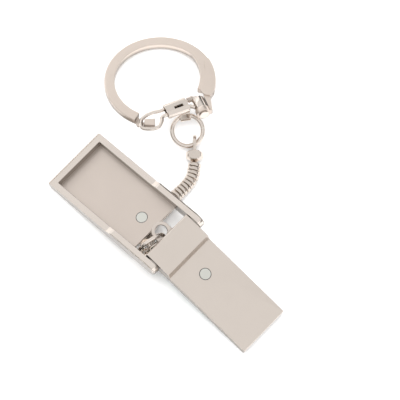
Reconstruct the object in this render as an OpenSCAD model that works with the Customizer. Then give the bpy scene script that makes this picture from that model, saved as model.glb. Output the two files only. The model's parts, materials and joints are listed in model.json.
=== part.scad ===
// Flip-out USB flash drive with a snake chain and a clip key ring.
// Units are millimetres; the table is z = 0.

/* [Case] */
// Outer width of the case
case_width = 15.7; // [13.5:0.1:20]
// Clear width between the side rims
case_inner = 12.7; // [12.4:0.1:16]
// Length from the far end to the hinge axis
case_length = 30; // [28:0.5:36]
// Thickness of the end rim
end_rim = 1.66; // [1:0.02:3]
// Tilt of the case, far end on the table
case_tilt = 10.5; // [6:0.1:14]
// Thickness of the tray floor
floor_thick = 0.5; // [0.4:0.05:0.8]
// Diameter of the round magnets
magnet_d = 2.5; // [2:0.1:3]

/* [Plug] */
// Width of the plug carrier
plug_width = 12.2; // [11.8:0.1:12.4]
// Length of the carrier from the hinge axis
plug_length = 26.95; // [24:0.05:28]
// Tilt of the plug, free end on the table
plug_tilt = 9.77; // [6:0.01:14]
// Half height of the hinge block
block_half = 1.8; // [1.5:0.05:2]
// Top of the thin plate above the hinge axis
plate_top = 0.4; // [0.2:0.05:0.8]
// Diameter of the hinge pins
pin_d = 1.4; // [1:0.1:1.8]

/* [Chain] */
// Diameter of a chain link
link_d = 2.9; // [2.4:0.1:3]
// Distance from link to link
link_pitch = 0.9; // [0.85:0.01:0.95]
// Length of one link's barrel
link_long = 0.62; // [0.5:0.01:0.64]
// Wire diameter of the large jump ring
jump_wire = 1.0; // [0.8:0.05:1.05]
// Wire diameter of the small jump ring
small_wire = 0.8; // [0.7:0.02:0.86]

/* [Key ring] */
// Outer radius of the key ring
ring_r = 12.1; // [11:0.1:13]
// Thickness of the key ring band
ring_thick = 1.5; // [1.2:0.1:2]
// Inner radius of the key ring on its narrow side
ring_inner = 9.9; // [9:0.1:10.4]
// Slope of the key ring
ring_slope = 18.5; // [10:0.5:25]
// Wire diameter of the latch
latch_wire = 0.84; // [0.7:0.02:0.9]

/* [Hidden] */
$fn = 48;

// the object's frame: its box is centred on the origin in plan
shift = [-23.62, -14.42, -0.02];

steel = [0.80, 0.75, 0.72];
plug_steel = [0.82, 0.78, 0.74];
chain_steel = [0.74, 0.68, 0.63];
magnet_grey = [0.79, 0.79, 0.76];

// case
hinge_z = case_length * sin(case_tilt) + 0.9 * cos(case_tilt);
case_top = 1.3;
case_low = -0.9;
arm_r = 1.9;
floor_top = -0.45;
floor_low = floor_top - floor_thick;
floor_end = 24.2;
floor_groove = 0.3;
rim_edge = 0.15;
magnet_x = 9.5;
pin_inner = 4.4;
pin_outer = case_width / 2 - 0.45;
washer_thick = 0.19;

// plug
block_back = -2.25;
block_front = 4.15;
bevel_end = 4.85;
lug_x = -3.6;
lug_r = 2.1;
lug_hole = 1.35;
lug_thick = 0.8;
pocket_back = 2.0;
pocket_front = plug_length - 0.5;
pocket_half = 5.7;
pocket_top = -0.35;
film_low = -0.42;
mould_low = -1.45;
board_low = -1.75;
die_gap = 0.12;
magnet_deep = 0.5;

// small jump ring and large jump ring
small_r = 3.05;
small_at = [26.52, -2.98, 5.5];
small_turn = 76.9;
jump_r = 3.33;
jump_at = [14.15, 21.2, 2.95];
jump_up = [-0.75, 0.55, 0.37];
jump_side = [0.59, 0.81, 0];

// chain, from the upper cap to the lower cap
chain_start = [20.06, 17.13, 1.5];
chain_heads = [-47, -54, -61, -67, -77, -87, -93, -96, -90, -84, -79, -80,
    -84, -88, -90, -92, -92, -89, -85, -77, -67];
group_links = 3;
ball_r = 0.42;
cup_r = 0.47;
stem_r = 0.2;
neck_r = 0.8;

// end caps
eye_x = 4.6;
eye_r = 1.7;
eye_hole = 1.2;
eye_thick = 0.7;
upper_head = 132.9;
upper_pitch = 4;
lower_head = -52;
lower_pitch = 15;
lower_eye_axis = [-0.732, -0.38, 0.565];

// key ring: a and b run in the ring's plane, h along its normal
ring_at = [2.74, 24.6, ring_r * sin(ring_slope)];
ring_turn = -46;
band_from = 74;
band_to = 333;
wide_at = 55;
wide_shift = 2.2;
wide_r = 10.5;
neck_top = 0.45;
pivot_at = [6.88, 8.74, 0.8];
pivot_turn = 19.3;
barrel_r = 1.35;
barrel_back = -2.05;
barrel_front = 0.75;
ear_r = 1.55;
ear_back = 0.85;
ear_front = 2.05;
rivet_r = 0.6;
rivet_gap = 0.05;
wire_r = latch_wire / 2;
sleeve_mid = [7.25, 3.5, 0.95];
sleeve_turn = 114.5;
sleeve_long = 5;
sleeve_wide = 3.6;
sleeve_thick = 1.9;
sleeve_wall = 0.34;
strap_inner = 0.8;
strap_outer = 1.15;
strap_wide = 2.3;
loop_h = 0.95;
loop_path = [[5.3, 8.15], [4.45, 7.3], [5.40, 5.62], [8.06, -0.19], [8.4, -1.5], [9.2, -2.9],
    [10.0, -3.7], [10.7, -4.1], [12.2, -4.1], [12.75, -3.5], [12.75, -1.1], [12.0, -0.1],
    [10.6, 0.35], [9.52, 0.47], [6.86, 6.28], [7.22, 7.62]];

function unit(v) = v / norm(v);
function link_start(i) = i == 0 ? chain_start
    : link_start(i - 1) + link_pitch * [cos(chain_heads[i - 1]), sin(chain_heads[i - 1]), 0];
function link_mid(i) = link_start(i)
    + link_pitch / 2 * [cos(chain_heads[i]), sin(chain_heads[i]), 0];
function heading(turn, pitch) = [cos(pitch) * cos(turn), cos(pitch) * sin(turn), sin(pitch)];

// corner of a strip along the latch's path, on one side of point i
function strip_corner(i, side) = let(
        here = loop_path[i],
        before = unit(here - loop_path[max(i - 1, 0)] + (i == 0 ? loop_path[1] - here : [0, 0])),
        after = i == len(loop_path) - 1 ? before : unit(loop_path[i + 1] - here),
        mid = unit(before + after))
    here + side * wire_r / (mid * before) * [-mid[1], mid[0]];

module in_case() {
    translate(shift) translate([case_length, 0, hinge_z]) rotate([0, -case_tilt, 0])
        translate([-case_length, 0, 0]) children();
}

module in_plug() {
    translate(shift) translate([case_length, 0, hinge_z]) rotate([0, plug_tilt, 0]) children();
}

module in_ring() {
    translate(shift) translate(ring_at) rotate([0, 0, ring_turn]) rotate([0, -ring_slope, 0])
        children();
}

module in_pivot() {
    in_ring() translate(pivot_at) rotate([0, 0, pivot_turn]) rotate([0, 90, 0]) children();
}

// place children with local x, y, z along three given directions
module in_axes(at, x, y, z) {
    multmatrix([[x[0], y[0], z[0], at[0]], [x[1], y[1], z[1], at[1]],
        [x[2], y[2], z[2], at[2]], [0, 0, 0, 1]]) children();
}

module rod(from, to, r) {
    d = to - from;
    translate(from) rotate([0, acos(d[2] / norm(d)), atan2(d[1], d[0])])
        cylinder(h = norm(d), r = r, $fn = 24);
}

module torus(r, wire) {
    rotate_extrude($fn = 64) translate([r, 0]) circle(r = wire, $fn = 24);
}

module side_extrude(half) {
    translate([0, half, 0]) rotate([90, 0, 0]) linear_extrude(2 * half) children();
}

// ---- case ----
module case_side(edge) {
    c = edge;
    difference() {
        union() {
            polygon([[c, case_low], [28, -arm_r], [case_length, -arm_r], [case_length, arm_r],
                [19.1, 1.85], [17.6, case_top], [c, case_top], [0, case_top - c],
                [0, case_low + c]]);
            translate([case_length, 0]) circle(r = arm_r, $fn = 64);
        }
    }
}

module case_frame() {
    half = case_width / 2;
    color(steel) in_case() difference() {
        union() {
            side_extrude(half - rim_edge) case_side(rim_edge);
            intersection() {
                side_extrude(half) translate([rim_edge, rim_edge]) scale([0.99, 0.9])
                    case_side(rim_edge);
                translate([0, -half, -3]) cube([case_length + 3, 2 * half, 6]);
            }
        }
        translate([end_rim, -case_inner / 2, -3]) cube([case_length + 3, case_inner, 6]);
        translate([end_rim - floor_groove, -case_inner / 2 - floor_groove, floor_low])
            cube([floor_end - end_rim + floor_groove, case_inner + 2 * floor_groove, floor_thick]);
        for (s = [-1, 1])
            translate([case_length, s * pin_outer, 0]) rotate([s * 90, 0, 0])
                cylinder(h = 3, d = pin_d);
    }
}

module tray_floor() {
    color(steel) in_case() difference() {
        translate([end_rim - floor_groove, -case_inner / 2 - floor_groove, floor_low])
            cube([floor_end - end_rim + floor_groove, case_inner + 2 * floor_groove, floor_thick]);
        translate([case_length - magnet_x, 0, floor_low - 1]) cylinder(h = 3, d = magnet_d);
    }
}

module tray_magnet() {
    color(magnet_grey) in_case() translate([case_length - magnet_x, 0, floor_low])
        cylinder(h = floor_thick, d = magnet_d);
}

module hinge_pins() {
    color(chain_steel) in_case() for (s = [-1, 1])
        translate([case_length, s * pin_outer, 0]) rotate([s * 90, 0, 0])
            cylinder(h = pin_outer - pin_inner, d = pin_d);
}

module friction_washers() {
    color(chain_steel) in_case() for (s = [-1, 1])
        translate([case_length, s * case_inner / 2, 0]) rotate([s * 90, 0, 0])
            difference() {
                cylinder(h = washer_thick, r = 1.6);
                translate([0, 0, -1]) cylinder(h = 3, d = pin_d);
            }
}

// ---- plug ----
module plug_side() {
    c = 0.25;
    polygon([[block_back + c, -block_half], [plug_length - 0.15, -block_half],
        [plug_length, -block_half + 0.15], [plug_length, plate_top - 0.15],
        [plug_length - 0.15, plate_top], [bevel_end, plate_top], [block_front, block_half],
        [block_back + c, block_half], [block_back, block_half - c], [block_back, -block_half + c]]);
}

module flap_carrier() {
    half = plug_width / 2;
    color(plug_steel) in_plug() difference() {
        union() {
            side_extrude(half) plug_side();
            translate([lug_x, 0, -lug_thick / 2]) cylinder(h = lug_thick, r = lug_r, $fn = 64);
            translate([lug_x, -lug_r, -lug_thick / 2])
                cube([block_back - lug_x + 0.5, 2 * lug_r, lug_thick]);
        }
        translate([lug_x, 0, -2]) cylinder(h = 4, r = lug_hole);
        translate([pocket_back, -pocket_half, -block_half - 1])
            cube([pocket_front - pocket_back, 2 * pocket_half, pocket_top + block_half + 1]);
        translate([magnet_x, 0, plate_top - magnet_deep]) cylinder(h = 2, d = magnet_d);
        for (s = [-1, 1])
            translate([0, s * (half + 1), 0]) rotate([s * 90, 0, 0])
                cylinder(h = half + 1 - pin_inner + 0.1, d = pin_d + 0.1);
    }
}

module flap_magnet() {
    color(magnet_grey) in_plug() translate([magnet_x, 0, plate_top - magnet_deep])
        cylinder(h = magnet_deep, d = magnet_d);
}

module pocket_slab(low, top, gap) {
    translate([pocket_back + gap, -pocket_half + gap, low])
        cube([pocket_front - pocket_back - 2 * gap, 2 * pocket_half - 2 * gap, top - low]);
}

module adhesive_film() {
    color([0.9, 0.85, 0.6]) in_plug() pocket_slab(film_low, pocket_top, 0.3);
}

module dies(kind) {
    if (kind == "flash") {
        translate([9, -4, board_low + 0.3]) cube([9, 8, 0.25]);
        translate([9.6, -3.4, board_low + 0.55]) cube([7.8, 6.8, 0.2]);
    }
    if (kind == "controller")
        translate([5, -1.6, board_low + 0.3]) cube([2.8, 3.2, 0.25]);
    if (kind == "passives")
        for (i = [0:5])
            translate([3.1, -4.4 + 1.6 * i, board_low + 0.3]) cube([0.5, 0.9, 0.35]);
}

module memory_mould() {
    color([0.08, 0.08, 0.09]) in_plug() difference() {
        pocket_slab(mould_low, film_low, 0);
        dies("flash");
        dies("controller");
        dies("passives");
    }
}

module flash_die() {
    color([0.45, 0.46, 0.5]) in_plug() dies("flash");
}

module controller_die() {
    color([0.4, 0.42, 0.46]) in_plug() dies("controller");
}

module board_passives() {
    color([0.6, 0.5, 0.4]) in_plug() dies("passives");
}

module usb_board() {
    color([0.08, 0.3, 0.18]) in_plug() pocket_slab(board_low, mould_low, 0);
}

// four pads near the free end; the outer two reach further forward
module usb_contacts() {
    ys = [-3.5, -1, 1, 3.5];
    color([0.85, 0.66, 0.28]) in_plug() for (y = ys) {
        long = abs(y) > 2 ? 7.4 : 6.4;
        translate([pocket_front - 1.6 - long - (7.4 - long) / 2, y - 0.6, board_low - 0.05])
            cube([long, 1.2, 0.05]);
    }
}

// ---- chain ----
module link_body(i) {
    r = link_d / 2;
    half = link_long / 2;
    translate(link_mid(i)) rotate([0, 0, chain_heads[i]]) rotate([0, 90, 0])
        rotate_extrude($fn = 40)
            polygon([[0, -half], [1.18, -half], [r - 0.06, -0.16], [r, 0], [r - 0.06, 0.16],
                [1.18, half], [0, half]]);
}

module chain_group(g) {
    first = g * group_links;
    last = first + group_links - 1;
    color(chain_steel) translate(shift) difference() {
        union() {
            for (i = [first:last]) link_body(i);
            for (i = [first:last - 1]) {
                step = link_mid(i + 1) - link_mid(i);
                rod(link_mid(i) + 0.25 * step, link_mid(i + 1) - 0.25 * step, neck_r);
            }
            if (last + 1 < len(chain_heads)) {
                rod(link_mid(last), link_mid(last + 1), stem_r);
                translate(link_mid(last + 1)) sphere(r = ball_r, $fn = 32);
            }
        }
        translate(link_mid(first)) sphere(r = cup_r, $fn = 32);
        if (last + 1 == len(chain_heads))
            translate(link_mid(last)) sphere(r = cup_r, $fn = 32);
    }
}

module chain_1() { chain_group(0); }
module chain_2() { chain_group(1); }
module chain_3() { chain_group(2); }
module chain_4() { chain_group(3); }
module chain_5() { chain_group(4); }
module chain_6() { chain_group(5); }
module chain_7() { chain_group(6); }

// cup with a flat eye; local x runs from the chain to the eye, y along the eye's hole
module end_cap() {
    intersection() {
        rotate([0, 90, 0]) rotate_extrude($fn = 48)
            polygon([[0, 0.25], [0.4, 0.25], [1.4, 0.8], [1.9, 1.3], [1.9, 2.3], [1.5, 2.7],
                [0, 2.7]]);
        translate([0, -1.85, -1.4]) cube([4, 3.7, 2.8]);
    }
    translate([eye_x, eye_thick / 2, 0]) rotate([90, 0, 0]) difference() {
        union() {
            cylinder(h = eye_thick, r = eye_r);
            translate([-2.3, -1.3, 0]) cube([2.3, 2.6, eye_thick]);
        }
        translate([0, 0, -1]) cylinder(h = 3, r = eye_hole);
    }
}

module lower_end_cap() {
    end = link_start(len(chain_heads));
    x = heading(lower_head, lower_pitch);
    z = unit(cross(x, lower_eye_axis));
    color(chain_steel) translate(shift) union() {
        in_axes(end, x, cross(z, x), z) end_cap();
        rod(end + 0.3 * x, link_mid(len(chain_heads) - 1), stem_r);
        translate(link_mid(len(chain_heads) - 1)) sphere(r = ball_r, $fn = 32);
    }
}

module upper_end_cap() {
    x = heading(upper_head, upper_pitch);
    z = unit(cross(x, [-sin(upper_head), cos(upper_head), 0]));
    color(chain_steel) translate(shift) union() {
        in_axes(chain_start, x, cross(z, x), z) end_cap();
        rod(chain_start + 0.3 * x, link_mid(0), stem_r);
        translate(link_mid(0)) sphere(r = ball_r, $fn = 32);
    }
}

module lower_jump_ring() {
    color(chain_steel) translate(shift) translate(small_at) rotate([90, 0, small_turn])
        torus(small_r, small_wire / 2);
}

module jump_ring() {
    u = unit(jump_up);
    color(chain_steel) translate(shift)
        in_axes(jump_at, u, jump_side, cross(u, jump_side)) torus(jump_r, jump_wire / 2);
}

// ---- strap and latch ----
module flat_round(wide, thick) {
    square([wide - thick, thick], center = true);
    for (s = [-1, 1]) translate([s * (wide - thick) / 2, 0]) circle(d = thick, $fn = 32);
}

module strap_sleeve() {
    u = unit(jump_up);
    tube_at = jump_at + (jump_r - 0.11) * u;
    out = [jump_side[1], -jump_side[0], 0];
    color(steel) {
        in_ring() translate(sleeve_mid) rotate([0, 0, sleeve_turn]) rotate([90, 0, 90])
            difference() {
                translate([0, 0, -sleeve_long / 2]) linear_extrude(sleeve_long)
                    flat_round(sleeve_wide, sleeve_thick);
                translate([0, 0, -sleeve_long]) linear_extrude(2 * sleeve_long)
                    flat_round(sleeve_wide - 2 * sleeve_wall, sleeve_thick - 2 * sleeve_wall);
                translate([-0.75, 0.3, -0.6]) cube([0.7, 2, 2.0]);
            }
        translate(shift) in_axes(tube_at, out, jump_side, [0, 0, 1]) {
            rotate([90, 0, 0]) difference() {
                translate([0, 0, -strap_wide / 2]) cylinder(h = strap_wide, r = strap_outer);
                translate([0, 0, -strap_wide]) cylinder(h = 2 * strap_wide, r = strap_inner);
            }
            translate([0, strap_wide / 2 - 0.15, 0]) rotate([90, 0, 0])
                linear_extrude(strap_wide - 0.15)
                    polygon([[0.82, -0.15], [1.12, -0.15], [0.5, 2.62], [0.16, 2.62]]);
        }
    }
}

module latch_loop() {
    last = len(loop_path) - 1;
    outline = concat([for (i = [0:last]) strip_corner(i, 1)],
        [for (i = [0:last]) strip_corner(last - i, -1)]);
    color(steel) difference() {
        in_ring() translate([0, 0, loop_h - wire_r]) linear_extrude(latch_wire) polygon(outline);
        in_pivot() translate([0, 0, barrel_back]) cylinder(h = 3, r = barrel_r);
    }
}

// close coil on the inner rail beside the pivot
module latch_spring() {
    from = [loop_path[2][0], loop_path[2][1], loop_h];
    step = ([loop_path[1][0], loop_path[1][1], loop_h] - from) / 9;
    turn = atan2(step[1], step[0]);
    color(steel) in_ring() for (i = [0:4])
        translate(from + i * step) rotate([0, 90, turn]) difference() {
            cylinder(h = 0.17, r = 1.5 * wire_r + 0.15, $fn = 32);
            translate([-wire_r, -wire_r, -1]) cube([latch_wire, latch_wire, 3]);
        }
}

module latch_knuckle() {
    color(steel) in_pivot() difference() {
        translate([0, 0, barrel_back]) cylinder(h = barrel_front - barrel_back, r = barrel_r);
        translate([0, 0, -1]) cylinder(h = 3, r = rivet_r + rivet_gap);
        translate([0, 0, -1.4]) cylinder(h = 0.45, r = rivet_r + 0.22);
    }
}

module pivot_rivet() {
    color(steel) in_pivot() {
        translate([0, 0, -1.3]) cylinder(h = 0.25, r = rivet_r + 0.15);
        translate([0, 0, -1.1]) cylinder(h = ear_front + 1.1, r = rivet_r);
        translate([0, 0, ear_front]) cylinder(h = 0.35, r = 1.05);
    }
}

// ---- key ring ----
module ring_disc(r, low, top, edge) {
    rotate_extrude($fn = 96)
        polygon([[0, low], [r - edge, low], [r, low + edge], [r, top - edge], [r - edge, top],
            [0, top]]);
}

module ring_band() {
    far = 2 * ring_r;
    gap = [for (t = [band_to - 360, 0, 40, band_from]) far * [cos(t), sin(t)]];
    color(steel) in_ring() {
        difference() {
            ring_disc(ring_r, 0, ring_thick, 0.15);
            intersection() {
                translate([0, 0, -1]) cylinder(h = 4, r = ring_inner, $fn = 96);
                translate(-wide_shift * [cos(wide_at), sin(wide_at), 0])
                    translate([0, 0, -1]) cylinder(h = 4, r = wide_r, $fn = 96);
            }
            translate([0, 0, -1]) linear_extrude(4) polygon(concat([[0, 0]], gap));
        }
        linear_extrude(neck_top)
            polygon([[9.1, -4.75], [10.5, -5.5], [11.6, -4.9], [12.0, -3.3], [10.7, -3.3],
                [10.5, -4.0]]);
        linear_extrude(ring_thick)
            polygon([[10.5, -3.4], [12.0, -3.4], [12.2, -1.1], [10.4, -1.1]]);
    }
}

module hinge_leaf() {
    color(steel) in_ring() {
        intersection() {
            translate([0, 0, ring_thick]) cylinder(h = 0.35, r = ring_r - 0.05, $fn = 96);
            linear_extrude(4) polygon([[-5.8, 10.6], [-4.96, 9.7], [-2.75, 9.8], [1.9, 9.0],
                [3.1, 8.7], [4.3, 9.6], [4.6, 10.8], [3.6, 12.2], [-5.6, 12.2]]);
        }
        translate([0, 0, 0.1]) linear_extrude(ring_thick) polygon([
            9.7 * [cos(band_from), sin(band_from)], [4.47, 9.42], [8.33, 10.78],
            [8.17, 11.25], [4.6, 10.8], (ring_r - 0.1) * [cos(band_from), sin(band_from)]]);
    }
    color(steel) in_pivot() difference() {
        union() {
            translate([0, 0, ear_back]) cylinder(h = ear_front - ear_back, r = ear_r);
            translate([-0.7, 0, ear_back]) cube([1.4, 1.9, ear_front - ear_back]);
        }
        translate([0, 0, -1]) cylinder(h = 4, r = rivet_r);
    }
}

case_frame();
tray_floor();
tray_magnet();
hinge_pins();
friction_washers();
flap_carrier();
flap_magnet();
usb_board();
usb_contacts();
memory_mould();
flash_die();
controller_die();
board_passives();
adhesive_film();
lower_jump_ring();
lower_end_cap();
chain_1();
chain_2();
chain_3();
chain_4();
chain_5();
chain_6();
chain_7();
upper_end_cap();
jump_ring();
strap_sleeve();
latch_loop();
latch_spring();
latch_knuckle();
ring_band();
hinge_leaf();
pivot_rivet();
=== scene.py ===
"""Looks of the flip-out USB flash drive: metal finishes, chain links, rings, latch wire and studio."""
import json
import math

import bmesh
import bpy
from mathutils import Matrix, Vector


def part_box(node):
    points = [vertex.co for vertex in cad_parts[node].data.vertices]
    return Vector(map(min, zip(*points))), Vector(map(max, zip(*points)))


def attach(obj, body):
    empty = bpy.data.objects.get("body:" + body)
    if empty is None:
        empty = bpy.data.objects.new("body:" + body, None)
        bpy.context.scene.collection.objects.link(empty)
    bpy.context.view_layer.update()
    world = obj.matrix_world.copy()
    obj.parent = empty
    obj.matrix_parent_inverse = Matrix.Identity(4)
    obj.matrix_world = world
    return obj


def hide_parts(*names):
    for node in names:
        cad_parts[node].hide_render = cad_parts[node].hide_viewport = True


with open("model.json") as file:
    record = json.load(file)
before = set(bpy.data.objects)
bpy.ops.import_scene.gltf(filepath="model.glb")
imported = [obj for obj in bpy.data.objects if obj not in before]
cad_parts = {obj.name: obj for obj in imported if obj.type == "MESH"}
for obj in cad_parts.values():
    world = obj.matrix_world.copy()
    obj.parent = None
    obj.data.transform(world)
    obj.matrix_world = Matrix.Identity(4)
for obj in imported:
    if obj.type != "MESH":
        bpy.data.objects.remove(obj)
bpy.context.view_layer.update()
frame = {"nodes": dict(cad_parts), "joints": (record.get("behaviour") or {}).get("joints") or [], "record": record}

MM = 0.001
JOINTS = {j["name"]: j for j in frame["joints"]}


def joint_at(name):
    return Vector(JOINTS[name]["pos_m"])


def joint_axis(name):
    return Vector(JOINTS[name]["axis"]).normalized()


# ---- materials ----
WALL_SHADE_RANGE = (0.18, 0.35)  # upward part of the normal over which the painted shade of upright walls fades out, from upright to sloping faces
CLOUD_SCALE = 180
BUMP_DEPTH = 0.02 * MM


def new_material(name):
    mat = bpy.data.materials.new(name)
    mat.use_nodes = True
    return mat, mat.node_tree.nodes, mat.node_tree.links, mat.node_tree.nodes["Principled BSDF"]


def metal(name, colour, rough, grain=(1, 1, 1), grain_size=2500, spread=0.05, bump=0.02,
          shade=0.05, painted_wall_shade=1.0):
    """Satin or polished metal: streaked or cloudy roughness, faint colour drift and fine bump.
    Upright walls get painted shade: their colour is darkened by the given factor, standing in for the dark
    reflections they show."""
    mat, nodes, links, bsdf = new_material(name)
    coords = nodes.new("ShaderNodeTexCoord")
    stretch = nodes.new("ShaderNodeMapping")
    stretch.inputs["Scale"].default_value = grain
    fine = nodes.new("ShaderNodeTexNoise")
    fine.inputs["Scale"].default_value = grain_size
    fine.inputs["Detail"].default_value = 6
    cloud = nodes.new("ShaderNodeTexNoise")
    cloud.inputs["Scale"].default_value = CLOUD_SCALE
    cloud.inputs["Detail"].default_value = 3
    links.new(coords.outputs["Object"], stretch.inputs["Vector"])
    links.new(stretch.outputs["Vector"], fine.inputs["Vector"])
    links.new(coords.outputs["Object"], cloud.inputs["Vector"])

    roughness = nodes.new("ShaderNodeMapRange")
    roughness.inputs["To Min"].default_value = max(rough - spread, 0.03)
    roughness.inputs["To Max"].default_value = rough + spread
    links.new(fine.outputs["Fac"], roughness.inputs["Value"])
    links.new(roughness.outputs["Result"], bsdf.inputs["Roughness"])

    tint = nodes.new("ShaderNodeMix")
    tint.data_type = "RGBA"
    tint.inputs["A"].default_value = (*[c * (1 - shade) for c in colour], 1)
    tint.inputs["B"].default_value = (*[min(c * (1 + shade), 1) for c in colour], 1)
    links.new(cloud.outputs["Fac"], tint.inputs["Factor"])

    # painted shade: base colour darkened on upright walls, found from the object-space normal
    face_way = nodes.new("ShaderNodeSeparateXYZ")
    links.new(coords.outputs["Normal"], face_way.inputs["Vector"])
    flatness = nodes.new("ShaderNodeMath")
    flatness.operation = "ABSOLUTE"
    links.new(face_way.outputs["Z"], flatness.inputs[0])
    wall_shade_factor = nodes.new("ShaderNodeMapRange")
    wall_shade_factor.inputs["From Min"].default_value, wall_shade_factor.inputs["From Max"].default_value = WALL_SHADE_RANGE
    wall_shade_factor.inputs["To Min"].default_value = painted_wall_shade
    links.new(flatness.outputs["Value"], wall_shade_factor.inputs["Value"])
    darker = nodes.new("ShaderNodeMix")
    darker.data_type = "RGBA"
    darker.inputs["A"].default_value = (0, 0, 0, 1)
    links.new(wall_shade_factor.outputs["Result"], darker.inputs["Factor"])
    links.new(tint.outputs["Result"], darker.inputs["B"])
    links.new(darker.outputs["Result"], bsdf.inputs["Base Color"])

    relief = nodes.new("ShaderNodeBump")
    relief.inputs["Strength"].default_value = bump
    relief.inputs["Distance"].default_value = BUMP_DEPTH
    links.new(fine.outputs["Fac"], relief.inputs["Height"])
    links.new(relief.outputs["Normal"], bsdf.inputs["Normal"])
    bsdf.inputs["Metallic"].default_value = 1.0
    return mat


def dull(name, colour, rough, scale=900, shade=0.1, bump=0.1):
    """Plastic, film, silicon or board: a speckled colour with a fine bump."""
    mat, nodes, links, bsdf = new_material(name)
    coords = nodes.new("ShaderNodeTexCoord")
    speck = nodes.new("ShaderNodeTexNoise")
    speck.inputs["Scale"].default_value = scale
    speck.inputs["Detail"].default_value = 5
    links.new(coords.outputs["Object"], speck.inputs["Vector"])
    tint = nodes.new("ShaderNodeMix")
    tint.data_type = "RGBA"
    tint.inputs["A"].default_value = (*[c * (1 - shade) for c in colour], 1)
    tint.inputs["B"].default_value = (*[min(c * (1 + shade), 1) for c in colour], 1)
    links.new(speck.outputs["Fac"], tint.inputs["Factor"])
    links.new(tint.outputs["Result"], bsdf.inputs["Base Color"])
    relief = nodes.new("ShaderNodeBump")
    relief.inputs["Strength"].default_value = bump
    relief.inputs["Distance"].default_value = BUMP_DEPTH
    links.new(speck.outputs["Fac"], relief.inputs["Height"])
    links.new(relief.outputs["Normal"], bsdf.inputs["Normal"])
    bsdf.inputs["Roughness"].default_value = rough
    return mat


NICKEL = (0.68, 0.60, 0.54)
ALONG_X = (0.06, 1, 1)
# case, plug and band steels darken their upright walls with painted shade
MATERIALS = {
    "case_steel": metal("case satin nickel", (0.74, 0.67, 0.61), 0.2, ALONG_X, 5000,
                        painted_wall_shade=0.4),
    "floor_steel": metal("tray satin nickel", NICKEL, 0.42, ALONG_X, 6000, 0.06, 0.05, 0.03),
    "plug_steel": metal("plug satin nickel", (0.70, 0.63, 0.57), 0.40, ALONG_X, 6000, 0.06,
                        0.05, 0.03, 0.45),
    "magnet": metal("magnet face", (0.72, 0.72, 0.67), 0.5, grain_size=4000, shade=0.12),
    "pin_steel": metal("pin steel", (0.5, 0.45, 0.41), 0.25),
    "board_green": dull("board solder mask", (0.02, 0.09, 0.05), 0.3),
    "gold": metal("gold plate", (0.85, 0.60, 0.22), 0.22, shade=0.08),
    "mould_black": dull("black mould compound", (0.012, 0.012, 0.014), 0.55),
    "silicon": dull("silicon die", (0.12, 0.125, 0.15), 0.2),
    "ceramic": dull("chip ceramic", (0.28, 0.2, 0.13), 0.4),
    "film": dull("glue film", (0.62, 0.55, 0.32), 0.5),
    "chain_metal": metal("chain nickel", (0.66, 0.59, 0.53), 0.17, grain_size=3500, spread=0.06,
                         shade=0.1),
    "ring_metal": metal("wire nickel", (0.72, 0.65, 0.59), 0.12, grain_size=3500, spread=0.05,
                        shade=0.07),
    "band_steel": metal("band satin nickel", (0.72, 0.63, 0.56), 0.34, grain_size=4500,
                        spread=0.07, bump=0.04, shade=0.05, painted_wall_shade=0.45),
}
NODE_SLOT = {s["node"]: s["material_slot"] for s in frame["record"]["subparts"]}


def shade_by_angle(obj, degrees):
    """Smooth shading with sharp edges where faces meet at more than the given angle."""
    mesh = obj.data
    for poly in mesh.polygons:
        poly.use_smooth = True
    mesh.set_sharp_from_angle(angle=math.radians(degrees))


def bevel(obj, width_mm, segments=4, degrees=35):
    """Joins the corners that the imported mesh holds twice, then rounds the edges."""
    weld = obj.modifiers.new("joined corners", "WELD")
    weld.merge_threshold = 0.001 * MM
    mod = obj.modifiers.new("edge", "BEVEL")
    mod.width = width_mm * MM
    mod.segments = segments
    mod.limit_method = "ANGLE"
    mod.angle_limit = math.radians(degrees)
    mod.harden_normals = True
    mod.use_clamp_overlap = False


for node_name, obj in frame["nodes"].items():
    obj.data.materials.clear()
    obj.data.materials.append(MATERIALS[NODE_SLOT[node_name]])

EDGES_MM = {"case_frame": 0.14, "flap_carrier": 0.1, "ring_band": 0.12, "hinge_leaf": 0.06,
            "upper_end_cap": 0.08, "lower_end_cap": 0.08, "tray_magnet": 0.05,
            "flap_magnet": 0.05, "pivot_rivet": 0.08, "latch_knuckle": 0.08,
            "strap_sleeve": 0.05}
for node_name, width in EDGES_MM.items():
    bevel(frame["nodes"][node_name], width)


# ---- mesh helpers ----
def add_mesh(name, build, slot_name, body, *stands_for):
    mesh = bpy.data.meshes.new(name)
    bm = bmesh.new()
    build(bm)
    bmesh.ops.recalc_face_normals(bm, faces=bm.faces)
    bm.to_mesh(mesh)
    bm.free()
    obj = bpy.data.objects.new(name, mesh)
    bpy.context.scene.collection.objects.link(obj)
    mesh.materials.append(MATERIALS[slot_name])
    shade_by_angle(obj, 40)
    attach(obj, body)
    if stands_for:
        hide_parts(*stands_for)
    return obj


def facing(direction, up=Vector((0, 0, 1))):
    """Rotation whose local x runs along direction."""
    x = direction.normalized()
    y = up.cross(x).normalized()
    return Matrix((x, y, x.cross(y))).transposed()


def lathe(bm, origin, turn, profile, sides=40):
    """Turns (x, r) points, in millimetres, about local x."""
    rings = []
    for x, r in profile:
        row = []
        for k in range(sides):
            a = 2 * math.pi * k / sides
            row.append(bm.verts.new(
                origin + turn @ Vector((x, r * math.cos(a), r * math.sin(a))) * MM))
        rings.append(row)
    for a, b in zip(rings, rings[1:]):
        for k in range(sides):
            n = (k + 1) % sides
            bm.faces.new((a[k], a[n], b[n], b[k]))
    bm.faces.new(rings[0])
    bm.faces.new(rings[-1][::-1])


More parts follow.
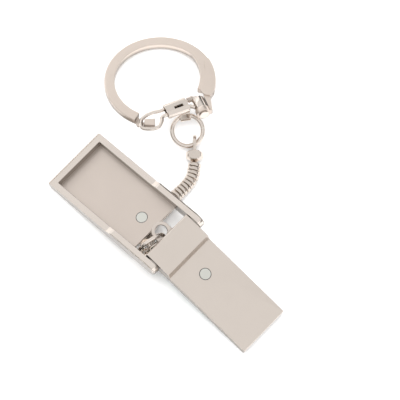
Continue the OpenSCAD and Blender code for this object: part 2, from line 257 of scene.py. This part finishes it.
def smooth_path(points, steps, closed=False):
    """Catmull-Rom curve through the points."""
    count = len(points)
    out = []
    spans = count if closed else count - 1
    for i in range(spans):
        if closed:
            p = [points[(i + k) % count] for k in (-1, 0, 1, 2)]
        else:
            p = [points[min(max(i + k, 0), count - 1)] for k in (-1, 0, 1, 2)]
        for s in range(steps):
            t = s / steps
            out.append(0.5 * ((2 * p[1]) + (p[2] - p[0]) * t
                              + (2 * p[0] - 5 * p[1] + 4 * p[2] - p[3]) * t * t
                              + (3 * p[1] - p[0] - 3 * p[2] + p[3]) * t ** 3))
    if not closed:
        out.append(points[-1])
    return out


def tube(bm, path, radius_mm, normal, sides=20, closed=False):
    """Round wire along a path that bends in, or near, the plane with that normal."""
    rows = []
    count = len(path)
    for i, p in enumerate(path):
        a = path[(i - 1) % count] if closed or i else path[0]
        b = path[(i + 1) % count] if closed or i < count - 1 else path[-1]
        t = (b - a).normalized()
        side = normal.cross(t).normalized()
        lift = t.cross(side)
        rows.append([bm.verts.new(p + (side * math.cos(w) + lift * math.sin(w))
                                  * radius_mm * MM)
                     for w in (2 * math.pi * k / sides for k in range(sides))])
    pairs = list(zip(rows, rows[1:] + ([rows[0]] if closed else [])))
    for a, b in pairs:
        for k in range(sides):
            n = (k + 1) % sides
            bm.faces.new((a[k], a[n], b[n], b[k]))
    if not closed:
        bm.faces.new(rows[0])
        bm.faces.new(rows[-1][::-1])


# ---- painted shade: black ring round each magnet's rim, standing for the shaded gap there ----
RIM_SHADE_SIDES = 48
RIM_SHADE_PROFILE = [(0.0, -0.07), (0.03, -0.04), (0.03, 0.02), (0.0, 0.05)]  # height, reach past the rim


def round_face(node):
    """Centre, normal and radius (mm) of the disc's upper face."""
    obj = frame["nodes"][node]
    tops = [p for p in obj.data.polygons if p.normal.z > 0.8]
    area = sum(p.area for p in tops)
    centre = sum((p.center * p.area for p in tops), Vector()) / area
    normal = sum((p.normal * p.area for p in tops), Vector()).normalized()
    return obj.matrix_world @ centre, normal, math.sqrt(area / math.pi) / MM


# black ring laid round the magnet's rim as painted shade of the gap there
def magnet_rim_shade(node):
    centre, normal, radius = round_face(node)

    def build(bm):
        turn = facing(normal, Vector((0, 1, 0)))
        rows = []
        for x, reach in RIM_SHADE_PROFILE:
            r = radius + reach
            rows.append([bm.verts.new(centre + turn @ Vector(
                (x, r * math.cos(a), r * math.sin(a))) * MM)
                for a in (2 * math.pi * k / RIM_SHADE_SIDES for k in range(RIM_SHADE_SIDES))])
        for a, b in zip(rows, rows[1:]):
            for k in range(RIM_SHADE_SIDES):
                n = (k + 1) % RIM_SHADE_SIDES
                bm.faces.new((a[k], a[n], b[n], b[k]))
    return build


add_mesh("tray_magnet_rim_shade", magnet_rim_shade("tray_magnet"), "mould_black", "case")
add_mesh("flap_magnet_rim_shade", magnet_rim_shade("flap_magnet"), "mould_black", "plug")


# ---- snake chain ----
LINKS_PER_BODY = 3
CHAIN_BODIES = 7
hubs = [joint_at("upper_cap_bend")] + [
    joint_at(f"chain_bend_{k}") for k in range(1, CHAIN_BODIES + 1)]


def link_places():
    """Centres of the 21 links and their directions, from the joints between the groups."""
    curve = smooth_path(hubs, 24)
    run = [0.0]
    for a, b in zip(curve, curve[1:]):
        run.append(run[-1] + (b - a).length)
    count = LINKS_PER_BODY * CHAIN_BODIES
    places = []
    for i in range(count):
        s = run[-1] * i / (count - 1)
        k = max(j for j in range(len(run)) if run[j] <= s + 1e-9)
        k = min(k, len(curve) - 2)
        places.append(curve[k].lerp(curve[k + 1], (s - run[k]) / (run[k + 1] - run[k])))
    ways = []
    for i in range(count):
        ways.append((places[min(i + 1, count - 1)] - places[max(i - 1, 0)]).normalized())
    return places, ways


places, ways = link_places()
LINK_PROFILE = [(-0.41, 0.85), (-0.41, 1.22), (-0.37, 1.34), (-0.29, 1.41), (-0.14, 1.44),
                (0.14, 1.44), (0.29, 1.41), (0.37, 1.34), (0.41, 1.22), (0.41, 0.85)]
CORE_PROFILE = [(-0.55, 0.86), (0.55, 0.86)]


def chain_group(first):
    def build(bm):
        for i in range(first, first + LINKS_PER_BODY):
            turn = facing(ways[i])
            lathe(bm, places[i], turn, LINK_PROFILE)
            if i < first + LINKS_PER_BODY - 1:
                lathe(bm, (places[i] + places[i + 1]) / 2, turn, CORE_PROFILE, 20)
        lathe(bm, places[first], facing(ways[first]), [(-0.5, 0.8), (0.3, 0.8)], 20)
    return build


for k in range(CHAIN_BODIES):
    add_mesh(f"chain_links_{k + 1}", chain_group(LINKS_PER_BODY * k), "chain_metal",
             f"links_{k + 1}", f"chain_{k + 1}")


# ---- jump rings ----
def torus_build(centre, normal, radius_mm, wire_mm, gap_way):
    """Bent wire ring with the fine seam where its two ends meet."""
    def build(bm):
        x = (gap_way - gap_way.dot(normal) * normal).normalized()
        y = normal.cross(x)
        open_angle = 0.05 * wire_mm / radius_mm
        count = 120
        path = []
        for k in range(count + 1):
            a = open_angle + (2 * math.pi - 2 * open_angle) * k / count
            path.append(centre + (x * math.cos(a) + y * math.sin(a)) * radius_mm * MM)
        tube(bm, path, wire_mm, normal, 28)
    return build


ring_lo, ring_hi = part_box("jump_ring")
JUMP_WIRE = 0.5
JUMP_R = 3.33
swing = joint_axis("strap_swing")
tube_at = joint_at("strap_swing")
jump_centre = (ring_lo + ring_hi) / 2
jump_up = (tube_at - jump_centre).normalized()
jump_normal = jump_up.cross(swing).normalized()
add_mesh("jump_ring_wire", torus_build(jump_centre, jump_normal, JUMP_R, JUMP_WIRE, swing),
         "ring_metal", "large_ring", "jump_ring")

SMALL_WIRE = 0.40
SMALL_R = 3.05
small_lo, small_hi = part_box("lower_jump_ring")
small_centre = (small_lo + small_hi) / 2
add_mesh("small_ring_wire",
         torus_build(small_centre, joint_axis("small_ring_turn"), SMALL_R, SMALL_WIRE,
                     Vector((0, 1, 0.2))),
         "ring_metal", "small_ring", "lower_jump_ring")

# ---- latch wire and coil, in the key ring's own plane ----
PIVOT = Vector((6.88, 8.74, 0.8))
PIVOT_TURN = math.radians(19.3)
pivot_way = joint_axis("latch_pivot")
ring_normal = pivot_way.cross(joint_axis("sleeve_slide")).normalized()
ring_a = (pivot_way * math.cos(PIVOT_TURN)
          - ring_normal.cross(pivot_way) * math.sin(PIVOT_TURN)).normalized()
ring_b = ring_normal.cross(ring_a)
pivot_at = joint_at("latch_pivot")


def in_ring(a, b, h):
    d = Vector((a, b, h)) - PIVOT
    return pivot_at + (ring_a * d.x + ring_b * d.y + ring_normal * d.z) * MM


LOOP_H = 0.95
LOOP = [(5.3, 8.15), (4.6, 7.75), (4.6, 7.1), (5.40, 5.62), (6.7, 2.78), (8.06, -0.19),
        (8.4, -1.5), (9.15, -2.9), (9.9, -3.72), (10.7, -4.1), (11.6, -4.15), (12.4, -3.9),
        (12.75, -3.1), (12.75, -1.3), (12.1, -0.15), (10.7, 0.35), (9.52, 0.6), (8.3, 3.13),
        (6.95, 6.08), (6.9, 6.8), (7.2, 7.6)]
WIRE_R = 0.41
loop_points = [in_ring(a, b, LOOP_H) for a, b in LOOP]
add_mesh("latch_wire", lambda bm: tube(bm, smooth_path(loop_points, 8), WIRE_R, ring_normal, 24),
         "ring_metal", "latch", "latch_loop")


COIL_R = 0.56
COIL_WIRE = 0.11


def coil(bm):
    """Close coil on the latch wire beside the pivot."""
    low, high = in_ring(5.25, 5.9, LOOP_H), in_ring(4.62, 7.1, LOOP_H)
    way = (high - low).normalized()
    side = ring_normal.cross(way).normalized()
    turns, steps = 6, 22
    path = []
    for k in range(turns * steps + 1):
        a = 2 * math.pi * k / steps
        path.append(low.lerp(high, k / (turns * steps))
                    + (side * math.cos(a) + ring_normal * math.sin(a)) * COIL_R * MM)
    tube(bm, path, COIL_WIRE, way, 10)


add_mesh("latch_coil", coil, "ring_metal", "latch", "latch_spring")


# ---- studio ----
def floor():
    mesh = bpy.data.meshes.new("floor")
    bm = bmesh.new()
    bmesh.ops.create_grid(bm, x_segments=2, y_segments=2, size=0.8)
    bm.to_mesh(mesh)
    bm.free()
    obj = bpy.data.objects.new("floor", mesh)
    bpy.context.scene.collection.objects.link(obj)
    obj.location.z = -0.05 * MM
    mesh.materials.append(dull("white paper", (0.93, 0.93, 0.93), 0.9, 300, 0.01, 0.02))


def area_light(name, place, target, size, power, in_reflections=True):
    data = bpy.data.lights.new(name, "AREA")
    data.shape = "RECTANGLE"
    data.size, data.size_y = size
    data.energy = power
    obj = bpy.data.objects.new(name, data)
    obj.location = place
    obj.visible_glossy = in_reflections
    obj.rotation_mode = "QUATERNION"
    obj.rotation_quaternion = (Vector(target) - Vector(place)).to_track_quat("-Z", "Y")
    bpy.context.scene.collection.objects.link(obj)


def world_light():
    """Pale room: bright overhead, darker towards the horizon."""
    world = bpy.data.worlds.new("studio")
    bpy.context.scene.world = world
    world.use_nodes = True
    nodes, links = world.node_tree.nodes, world.node_tree.links
    coords = nodes.new("ShaderNodeTexCoord")
    split = nodes.new("ShaderNodeSeparateXYZ")
    ramp = nodes.new("ShaderNodeValToRGB")
    stops = [(0.0, 0.35), (0.06, 0.25), (0.12, 0.04), (0.24, 0.10), (0.36, 0.5), (0.52, 0.88),
             (0.70, 1.0)]
    while len(ramp.color_ramp.elements) < len(stops):
        ramp.color_ramp.elements.new(1.0)
    for element, (position, level) in zip(ramp.color_ramp.elements, stops):
        element.position = position
        element.color = (level, level, level, 1)
    links.new(coords.outputs["Generated"], split.inputs["Vector"])
    links.new(split.outputs["Z"], ramp.inputs["Fac"])
    links.new(ramp.outputs["Color"], nodes["Background"].inputs["Color"])
    nodes["Background"].inputs["Strength"].default_value = 1.0


def camera():
    """Long lens, looking down on the drive from beyond its plug end, as in the photograph."""
    distance = 0.5867
    azimuth, elevation, roll = (math.radians(v) for v in (-47.23, 73.17, 0.61))
    target = Vector((4.38, -4.42, 2.98)) * MM
    back = Vector((math.cos(elevation) * math.cos(azimuth),
                   math.cos(elevation) * math.sin(azimuth), math.sin(elevation)))
    right = Vector((0, 0, 1)).cross(back).normalized()
    up = back.cross(right)
    right, up = (right * math.cos(roll) + up * math.sin(roll),
                 up * math.cos(roll) - right * math.sin(roll))
    eye = target + back * distance
    aim = target + (right * 0.32 + up * 1.86) * MM
    gaze = (aim - eye).normalized()
    side = gaze.cross(up).normalized()
    top = side.cross(gaze)
    data = bpy.data.cameras.new("camera")
    data.lens = 246.1
    data.sensor_width = 36
    data.clip_start, data.clip_end = 0.01, 10
    obj = bpy.data.objects.new("camera", data)
    obj.matrix_world = Matrix((
        (side.x, top.x, -gaze.x, eye.x), (side.y, top.y, -gaze.y, eye.y),
        (side.z, top.z, -gaze.z, eye.z), (0, 0, 0, 1)))
    bpy.context.scene.collection.objects.link(obj)
    bpy.context.scene.camera = obj


floor()
area_light("floor_fill", (0, 0, 0.7), (0, 0, 0), (0.6, 0.6), 5.0, in_reflections=False)
area_light("low_left", (-0.55, 0.12, 0.17), (0, 0, 0), (0.9, 0.3), 0.85)
area_light("low_right", (0.5, -0.15, 0.15), (0, 0, 0), (0.6, 0.3), 0.6)
world_light()
camera()
bpy.context.scene.view_settings.view_transform = "Standard"
